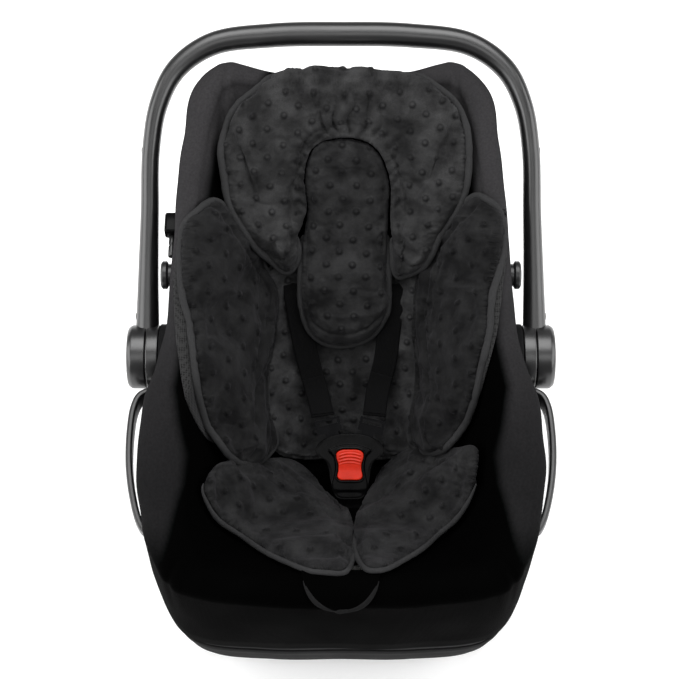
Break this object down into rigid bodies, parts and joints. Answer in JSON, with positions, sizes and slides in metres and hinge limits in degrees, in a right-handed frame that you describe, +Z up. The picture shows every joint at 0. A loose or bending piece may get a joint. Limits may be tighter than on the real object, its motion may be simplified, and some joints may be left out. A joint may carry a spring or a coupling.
{
  "type": "infant car seat",
  "caption": "Infant carrier car seat: deep padded shell on a flat base, carry handle swinging on side hubs, three-point harness with a red-button buckle, and a plush newborn insert.",
  "frame": {"origin": "on the floor, straight below the handle's pivot axis, midway between the two hubs", "axes": "+Z up, +Y towards the head end, +X to the right as seen from the foot end"},
  "size_m": [0.442, 0.5925, 0.4373],
  "materials": {
    "shell_plastic": "moulded black plastic with a fine grain",
    "handle_plastic": "satin charcoal-black moulded plastic",
    "trim_plastic": "satin black plastic",
    "foam": "pale closed foam",
    "cover_fabric": "smooth dark charcoal knit",
    "insert_plush": "black plush with raised dots",
    "webbing": "black woven polyester webbing",
    "button_red": "satin red-orange plastic",
    "tongue_metal": "black coated steel",
    "steel": "plated steel"
  },
  "bodies": {
    "shell": {"lower_shell": "shell_plastic", "upper_shell": "shell_plastic", "foam_liner": "foam", "seat_cover": "cover_fabric", "insert_head_support": "insert_plush", "insert_head_pad": "insert_plush", "insert_back_pad": "insert_plush", "insert_wing_left": "insert_plush", "insert_wing_right": "insert_plush", "insert_leg_pad_left": "insert_plush", "insert_leg_pad_right": "insert_plush", "shoulder_strap_left": "webbing", "shoulder_strap_right": "webbing", "crotch_strap": "webbing", "adjuster_strap": "webbing", "splitter_plate": "steel", "crotch_anchor": "steel", "adjuster_housing": "trim_plastic", "adjuster_pin": "steel", "adjuster_flap": "cover_fabric", "buckle_front": "trim_plastic", "buckle_back": "trim_plastic", "buckle_spring": "steel", "pivot_pin_left": "steel", "pivot_pin_right": "steel", "belt_guide_left": "trim_plastic", "belt_guide_right": "trim_plastic", "canopy_stud_left": "trim_plastic", "canopy_stud_right": "trim_plastic", "canopy_clip_left": "trim_plastic"},
    "handle": {"handle_inner_shell": "handle_plastic", "handle_outer_shell": "handle_plastic", "lock_spring_left": "steel", "lock_spring_right": "steel"},
    "button_left": {"handle_button_left": "trim_plastic", "lock_gear_left": "trim_plastic"},
    "button_right": {"handle_button_right": "trim_plastic", "lock_gear_right": "trim_plastic"},
    "buckle_button": {"buckle_button": "button_red"},
    "tongue_left": {"tongue_left": "tongue_metal"},
    "tongue_right": {"tongue_right": "tongue_metal"},
    "adjuster_lever": {"adjuster_lever": "trim_plastic"}
  },
  "joints": [
    {"name": "handle_swing", "type": "hinge", "parent": "shell", "child": "handle", "pos_m": [0, 0, 0.255], "axis": [1, 0, 0], "range_deg": [-70, 60]},
    {"name": "handle_button_left_press", "type": "slide", "parent": "handle", "child": "button_left", "axis": [1, 0, 0], "range_m": [0, 0.004], "stiffness_N_per_m": 900, "deforming": ["lock_spring_left"]},
    {"name": "handle_button_right_press", "type": "slide", "parent": "handle", "child": "button_right", "axis": [-1, 0, 0], "range_m": [0, 0.004], "stiffness_N_per_m": 900, "deforming": ["lock_spring_right"]},
    {"name": "buckle_button_press", "type": "slide", "parent": "shell", "child": "buckle_button", "axis": [0, 0.5, -0.866], "range_m": [0, 0.0025], "stiffness_N_per_m": 2500, "deforming": ["buckle_spring"]},
    {"name": "tongue_left_release", "type": "slide", "parent": "shell", "child": "tongue_left", "axis": [-0.2419, 0.8403, 0.4851], "range_m": [0, 0.022], "deforming": ["shoulder_strap_left"]},
    {"name": "tongue_right_release", "type": "slide", "parent": "shell", "child": "tongue_right", "axis": [0.2419, 0.8403, 0.4851], "range_m": [0, 0.022], "deforming": ["shoulder_strap_right"]},
    {"name": "adjuster_lever_press", "type": "hinge", "parent": "shell", "child": "adjuster_lever", "pos_m": [0, -0.20992, 0.22103], "axis": [1, 0, 0], "range_deg": [0, 12], "stiffness_Nm_per_rad": 0.4}
  ]
}
